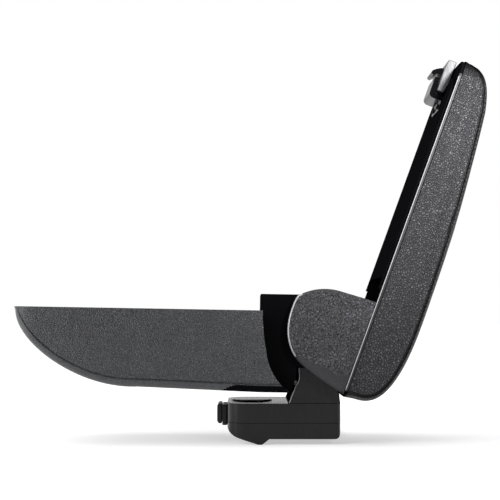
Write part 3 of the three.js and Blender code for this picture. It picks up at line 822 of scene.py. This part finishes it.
def pad_cover():
    inward = [0, 0.5, 1, 1.6, 2.2, 2.8, 3.4, 4, STITCH_LINE, 4.9, 5.3, 5.6, 5.85, 6.1, SEAM, 6.5, 6.75, 7,
              7.3, 7.7, 8.2, 8.8, 9.6]
    rows = pad_rows(2.3, inward, PAD_FLAT_STEPS, PAD_SIDE_STEPS)
    shape = (len(rows), len(rows[0]))
    cover = sheet_of("lid_pad", rows)
    middle = cover.data.polygons[(shape[0] // 2) * (shape[1] - 1) + shape[1] // 2]
    if middle.normal.z < 0:
        cover.data.flip_normals()
    points = [v.co.copy() for v in cover.data.vertices]
    normals = [v.normal.copy() for v in cover.data.vertices]
    offsets = [0.0] * len(points)
    body = swollen_pad()
    tree = BVHTree.FromPolygons([v.co / MM for v in body.data.vertices],
                                [tuple(f.vertices) for f in body.data.polygons])
    for n, (point, normal) in enumerate(zip(points, normals)):
        hit, _, _, distance = tree.ray_cast(point - normal * 6, normal, 14)
        offsets[n] = 0.0 if hit is None else distance - 6
    bpy.data.objects.remove(body, do_unlink=True)
    offsets = smoothed(offsets, shape, 6)
    last = shape[1] - 1
    for n, (point, normal) in enumerate(zip(points, normals)):
        d = cover_inset(n % shape[1], last, inward)
        hem = min(1.0, max(0.0, (point.z - COVER_BOTTOM) / 10))
        pucker = 0.3 * noise.noise(point / 7) * math.exp(-(((d - SEAM) / 3) ** 2))
        swell = max(-1.5, min(2.6, float(offsets[n]))) * hem
        roll = 0.45 * math.exp(-(((point.z - COVER_BOTTOM - 1.3) / 1.2) ** 2))
        roll -= 0.5 * math.exp(-(((point.z - COVER_BOTTOM - 3.4) / 0.6) ** 2))
        cover.data.vertices[n].co = point + normal * (swell + (seam_relief(d) + pucker) * hem + roll)
    panel = PAD_SIDE_STEPS + 1
    # The top panel takes the darker leatherette: painted shade.
    for n, face in enumerate(cover.data.polygons):
        face.material_index = 1 if panel <= n % last < last - panel else 0
    stitches = pad_stitches(cover, shape, inward)
    trim(cover, (0, 0, COVER_BOTTOM), (0, 0, -1))
    thicken(cover, 1.5)
    settle(cover, LID, "lid", "leatherette", LEATHER, LEATHER_TOP_SHADED, replaces=["pad_cover"], sharp=60,
           weighted=False)
    settle(stitches, LID, "lid", "leatherette", THREAD, sharp=60, weighted=False)
    return cover


def pad_stitches(cover, shape, inward):
    """Short raised threads along both seams, on the top side of the groove."""
    column = PAD_SIDE_STEPS + len(inward) - 1 - inward.index(STITCH_LINE)
    verts, faces = [], []
    rings, sides = 6, 6
    for side_column in (column, shape[1] - 1 - column):
        line = [cover.data.vertices[i * shape[1] + side_column] for i in range(shape[0])]
        line = [(v.co.copy(), v.normal.copy()) for v in line
                if v.co.z > COVER_BOTTOM + 4 and v.co.x > LID_TIP + 22]
        run = np.concatenate([[0], np.cumsum([(b[0] - a[0]).length for a, b in zip(line, line[1:])])])
        at = 2.0
        while at + 3.4 < run[-1]:
            ends = []
            for place in (at, at + 3.2):
                k = min(int(np.searchsorted(run, place)), len(line) - 1)
                t = (place - run[k - 1]) / (run[k] - run[k - 1])
                ends.append((line[k - 1][0].lerp(line[k][0], t), line[k][1]))
            (a, up), (b, _) = ends
            along = (b - a).normalized()
            across = along.cross(up).normalized()
            base = len(verts)
            for r in range(rings + 1):
                bulge = math.sin(math.pi * (0.08 + 0.84 * r / rings))
                middle = a.lerp(b, r / rings) + up * (0.25 * bulge - 0.1)
                verts += [tuple(middle + (across * math.cos(w) + up * math.sin(w)) * THREAD_RADIUS * bulge)
                          for w in turn_angles(sides)]
            for r in range(rings):
                faces += [(base + r * sides + s, base + r * sides + (s + 1) % sides,
                           base + (r + 1) * sides + (s + 1) % sides, base + (r + 1) * sides + s)
                          for s in range(sides)]
            faces.append(tuple(base + s for s in range(sides)))
            faces.append(tuple(base + rings * sides + s for s in range(sides)))
            at += 4.6
    return face_outward(make("pad_stitching", verts, faces))


def foam():
    body = closed_pad("pad_foam_block", 2.6)
    cut(body, block(-FAR, FAR, -FAR, FAR, -FAR, 38.3), pocket(2.6))
    settle(body, LID, "lid", "foam", FOAM, replaces=["pad_foam"], sharp=60, weighted=False)
    return body


# ---- the latch ----
def shade_sideways_faces(obj):
    """Puts the second material on the faces that look sideways, as painted shade."""
    for face in obj.data.polygons:
        face.material_index = 1 if abs(face.normal.y) > 0.5 else 0


def latch_frame():
    path = Outline(-288, 20.3).line(-288, 15.2).line(-272.5, 15.2).quad(-266.8, 15.2, -266.8, 21)
    path.line(-266.8, 28.6).line(-257, 28.6).line(-257, PARTING - GAP).line(-272, PARTING - GAP)
    path.line(-272, 20.3)
    bracket = prism("latch_bracket", path.points, -19, 19)
    for x, y in LATCH_SCREWS:
        cut(bracket, rod_z(1.8, x, y, 20, 36, 24))
    bevel(bracket, 0.8, 3, 40)
    shade_sideways_faces(bracket)
    return settle(bracket, LID, "lid", "latch_black", GLOSS, MATT, replaces=["latch_frame"])


def latch_button():
    side = [(-309.5, 31), (-309.5, 22.6), (-302, 21.4), (-276, 21.4), (-276, 28.6), (-286, 30.4)]
    plate = prism("latch_push", side, -16, 16)
    bevel(plate, 1.0, 3)
    return settle(plate, LID, "latch", "button_grey", LATCH_GREY, replaces=["latch_button"])


def latch_hook():
    side = [(-300, 21), (-299.2, 18), (-296.8, 14), (-294.4, 11), (-292, 10.4), (-290.4, 12.2),
            (-290.6, 14), (-292.6, 15.6), (-293.4, 21)]
    hook = prism("latch_claw", side, -14, 14)
    bevel(hook, 0.7, 3)
    shade_sideways_faces(hook)
    return settle(hook, LID, "latch", "latch_black", GLOSS, MATT, replaces=["latch_hook"])


# ---- the stem and the foot ----
def stem_outline(inset):
    path = Outline(-17.2 + inset, 27.5).line(-8.2 + inset, 50.2).quad(-4.6 + inset, 55, -4.8 + inset, 60)
    path.line(-5.4 + inset, 72).line(33.2 - inset, 72).line(34 - inset, 40).line(35.6 - inset, 27.5)
    return path.points


def stem():
    shell = prism("stem_cover", stem_outline(0), -43, 43)
    bevel(shell, 1.8, 4, 40)
    cut(shell, prism("inner", stem_outline(3), -40, 40), block(-FAR, FAR, -FAR, FAR, 67.2, FAR),
        block(-FAR, FAR, -FAR, FAR, -FAR, 33.8))
    # Painted shade on the front face and a painted highlight on the bevel between the front and the near
    # side.
    for face in shell.data.polygons:
        forward, sideways, _ = face.normal
        face.material_index = 1 if forward < -0.9 else 2 if forward < -0.3 and sideways < -0.3 else 0
    return settle(shell, ROW, "base", "foot_black", GLOSS, MATT, PAINTED_HIGHLIGHT, replaces=["stem_shell"])


FOOT_SCREWS = [(-50, -34), (-50, 34), (26, -34), (26, 34)]
CAP = (-49.5, 20.0)


def foot_plan(inset=0.0):
    half, front, rear, corner, rear_corner = 44 - inset, -73.2 + inset, 35.2 - inset, 18 - inset, 7
    path = Outline(rear, half - rear_corner)
    path.arc(rear - rear_corner, half - rear_corner, rear_corner, 0, 90, 12)
    path.arc(front + corner, half - corner, corner, 90, 180, 24)
    path.arc(front + corner, corner - half, corner, 180, 270, 24)
    return path.arc(rear - rear_corner, rear_corner - half, rear_corner, 270, 360, 12).points


def foot_screw_holes(obj):
    for x, y in FOOT_SCREWS:
        cut(obj, rod_z(3.6, x, y, -9, 3, 24), rod_z(1.9, x, y, -9, 24, 24))


def posts(low, high):
    return [rod_z(5, x, y, low, high, 32) for x, y in FOOT_SCREWS]


def tab_window():
    return block(-77, -65, -13.5, 13.5, 13.5, 27.5)


def foot_upper():
    shell = prism("foot_top", foot_plan(), 15.1, 33.5, "Z")
    inner = prism("inner", foot_plan(3), 10, 30.5, "Z")
    cut(inner, *posts(0, 33.5))
    cut(shell, inner, rod_z(CAP[1] + 0.5, CAP[0], 0, 31.9, 40), rod_z(3.4, CAP[0], 0, 0, 60, 32),
        block(-12.3, 10.3, -15.3, 15.3, 3, 60), tab_window())
    foot_screw_holes(shell)
    bevel(shell, 1.1, 3, 40)
    return settle(shell, ROW, "base", "foot_black", GLOSS, replaces=["foot_upper_shell"])


def foot_side(inset=0.0):
    path = Outline(-73.2 + inset, 25.1).line(-73.2 + inset, 10.4)
    path.cubic(-71.8 + inset, 5 + inset, -67 + inset, 2 + inset, -60 + inset, inset, 16)
    path.line(-43.5, -5.3 + inset).line(-39.8, -5.3 + inset).line(-33, inset).line(29.2, inset)
    return path.quad(34.2 - inset, inset, 34.6 - inset, 5 + inset, 10).line(35.2 - inset, 25.1).points


def foot_lower():
    shell = prism("foot_bottom", foot_side(), -45, 45)
    boolean(shell, prism("plan", foot_plan(), -10, 14.8, "Z"), "INTERSECT")
    inner = prism("inner", foot_side(3), -44, 44)
    boolean(inner, prism("plan", foot_plan(3), -10, 60, "Z"), "INTERSECT")
    cut(inner, *posts(-10, 60))
    cut(shell, inner, rod_z(3.4, CAP[0], 0, -10, 60, 32), tab_window())
    foot_screw_holes(shell)
    bevel(shell, 0.7, 3, 40)
    return settle(shell, ROW, "base", "foot_black", GLOSS, replaces=["foot_lower_shell"])


def clamp_cap():
    radius = CAP[1]
    profile = [(0, 0), (radius, 0), (radius, 1.4), (radius - 0.4, 2.1), (radius - 1.4, 2.6), (0, 2.6)]
    cap = lathe("clamp_cover", profile, 96)
    bevel(cap, 0.2, 2, 40)
    cap.data.transform(Matrix.Translation((CAP[0], 0, 32.2)))
    return settle(cap, ROW, "base", "satin_black", GLOSS, replaces=["clamp_cap"])


def tab_bezel():
    collar = block(-78.4, -73.5, -17, 17, 10.4, 30.4)
    cut(collar, block(-FAR, FAR, -13.4, 13.4, 13.6, 27.4))
    collar.name = "tab_surround"
    bevel(collar, 1.0)
    return settle(collar, ROW, "base", "satin_black", SATIN, replaces=["tab_bezel"])


def release_tab():
    face = prism("tab_pull", [(-83.4, 14.5), (-83.4, 29.6), (-81.8, 31.2), (-78.8, 31.2), (-78.8, 12.2),
                              (-81.8, 12.2)], -17, 17)
    bevel(face, 0.7)
    join(face, block(-79.6, -50, -12, 12, 17, 24), block(-53, -50, -13, 13, 15.4, 26.4))
    cut(face, block(-70, -40, -7.2, 7.2, 14, 28))
    for k in range(4):
        z = 16.6 + 3.4 * k
        cut(face, block(-84.2, -82.9, -12, 12, z, z + 1.2))
    return settle(face, ROW, "tab", "satin_black", SATIN, replaces=["release_tab"])


# ---- screws ----
def pan_screw(name, spot, place, body, node, length, head=3.2, shank=1.5, tall=1.2, flip=False):
    """A pan-head screw, head down, with a cross recess and a threaded shank."""
    profile = [(0, 0), (head * 0.72, 0.0), (head * 0.93, tall * 0.25), (head, tall * 0.6), (head, tall),
               (shank, tall)]
    pitch = 0.7
    z = tall + pitch
    while z < length - shank:
        profile += [(shank * 0.82, z - pitch * 0.45), (shank, z)]
        z += pitch
    profile += [(shank * 0.82, z - pitch * 0.45), (0, length)]
    made = lathe(name, profile, 28)
    arm, wide = head * 0.52, head * 0.13
    cut(made, block(-arm, arm, -wide, wide, -1, tall * 0.62), block(-wide, wide, -arm, arm, -1, tall * 0.62))
    if flip:
        made.data.transform(Matrix.Rotation(math.pi, 4, "X"))
    made.data.transform(Matrix.Translation(spot))
    plating = BLACK_STEEL if node.startswith("latch") else STEEL
    return settle(made, place, body, "steel", plating, replaces=[node], weighted=False)


def screws():
    sets = [
        ("foot_screw", FOOT_SCREWS, 1.4, ROW, "base", 20),
        ("hull_screw", HULL_SCREWS, -45.0, ARM, "base", 10),
        ("liner_screw", LINER_SCREWS, PARTING + 0.3, LID, "lid", 7.5),
        ("latch_screw", LATCH_SCREWS, PARTING - 5, LID, "lid", 7),
    ]
    for name, spots, z, place, body, length in sets:
        for k, (x, y) in enumerate(spots, 1):
            pan_screw(f"{name}_{k}_threaded", (x, y, z), place, body, f"{name}_{k}", length)
    pan_screw("clamp_screw_threaded", (CAP[0], 0, 29.5), ROW, "base", "clamp_screw", 29, 6.5, 3, 4, flip=True)


# ---- the CAD nodes that stay ----
def finish_nodes():
    kept = {
        STEEL: ["stem_core", "hinge_axle", "clamp_nut", "friction_washer_left", "friction_washer_right",
                "release_spring", "latch_spring"],
        SATIN: ["lid_board"],
    }
    for material, names in kept.items():
        for name in names:
            slots = frame["nodes"][name].material_slots
            for slot in slots:
                slot.link = "OBJECT"
                slot.material = material


# ---- the studio ----
def camera():
    data = bpy.data.cameras.new("camera")
    data.lens = 76.74
    data.sensor_width = 36
    made = bpy.data.objects.new("camera", data)
    made.location = (-0.05132, -1.0640, 0.11751)
    made.rotation_euler = (math.radians(90 + 3.496), 0, 0)
    bpy.context.scene.collection.objects.link(made)
    bpy.context.scene.camera = made


def area_light(name, place, target, size, power, size_y=None):
    data = bpy.data.lights.new(name, "AREA")
    data.energy = power
    data.size = size
    if size_y:
        data.shape = "RECTANGLE"
        data.size_y = size_y
    made = bpy.data.objects.new(name, data)
    made.location = place
    made.rotation_euler = (Vector(target) - Vector(place)).to_track_quat("-Z", "Y").to_euler()
    bpy.context.scene.collection.objects.link(made)


def sun_light(name, toward, strength, spread):
    data = bpy.data.lights.new(name, "SUN")
    data.energy = strength
    data.angle = math.radians(spread)
    made = bpy.data.objects.new(name, data)
    made.rotation_euler = Vector(toward).to_track_quat("Z", "Y").to_euler()
    bpy.context.scene.collection.objects.link(made)


def spot_light(name, place, target, cone, power):
    data = bpy.data.lights.new(name, "SPOT")
    data.energy = power
    data.spot_size = math.radians(cone)
    data.spot_blend = 1.0
    data.shadow_soft_size = 0.08
    made = bpy.data.objects.new(name, data)
    made.location = place
    made.rotation_euler = (Vector(target) - Vector(place)).to_track_quat("-Z", "Y").to_euler()
    bpy.context.scene.collection.objects.link(made)


def floor():
    size = 12.0
    low = cad_box[0].z
    corners = [(-size, -size, low), (size, -size, low), (size, size, low), (-size, size, low)]
    made = make("studio_floor", corners, [(0, 1, 2, 3)])
    finish = Finish("floor", (0.62, 0.62, 0.62), 0.9, Specular_IOR_Level=0.0, Emission_Color=(1, 1, 1, 1),
                    Emission_Strength=0.5)
    finish.tint(finish.noise(300, 2), 0.99, 1.01)
    made.data.materials.append(finish.material)


def world():
    """A surround that the camera sees as white. It lights most from behind and the left."""
    made = bpy.data.worlds.new("studio")
    bpy.context.scene.world = made
    made.use_nodes = True
    tree = made.node_tree
    tree.nodes.clear()

    def add(kind, operation=None, *values):
        node = tree.nodes.new("ShaderNode" + kind)
        if operation:
            node.operation = operation
        for n, value in enumerate(values):
            if isinstance(value, bpy.types.NodeSocket):
                tree.links.new(value, node.inputs[n])
            else:
                node.inputs[n].default_value = value
        return node

    direction = add("TexCoord").outputs["Generated"]
    axes = add("SeparateXYZ", None, direction).outputs
    behind = add("Math", "MULTIPLY_ADD", axes["Y"], 0.4, 0.3).outputs[0]
    left = add("Math", "MULTIPLY_ADD", axes["X"], -0.25, 0.0).outputs[0]
    glow = add("Math", "MAXIMUM", add("Math", "ADD", behind, left).outputs[0], 0.03).outputs[0]
    seen = add("LightPath").outputs["Is Camera Ray"]
    shader = add("Background")
    strength = add("Math", "MAXIMUM", glow, seen).outputs[0]
    tree.links.new(strength, shader.inputs["Strength"])
    shader.inputs["Color"].default_value = (1, 1, 1, 1)
    tree.links.new(shader.outputs[0], add("OutputWorld").inputs[0])


def studio():
    camera()
    floor()
    world()
    bpy.context.scene.view_settings.view_transform = "Standard"
    area_light("key", (-1.1, -0.9, 1.0), (0, 0, 0.2), 0.6, 6)
    area_light("left", (-1.2, -0.5, 0.35), (0, 0, 0.2), 0.35, 10, 0.9)
    spot_light("pad_pool", (0.45, -0.95, 0.62), (0.17, -0.06, 0.33), 32, 130)
    sun_light("overhead", (-0.2, -0.1, 1.0), 2.0, 60)


studio()
hull()
tub_mat()
strike()
hinge_housing()
cheek("left", -1)
cheek("right", 1)
lid_liner()
pad_cover()
foam()
latch_frame()
latch_button()
latch_hook()
stem()
foot_upper()
foot_lower()
clamp_cap()
tab_bezel()
release_tab()
screws()
finish_nodes()
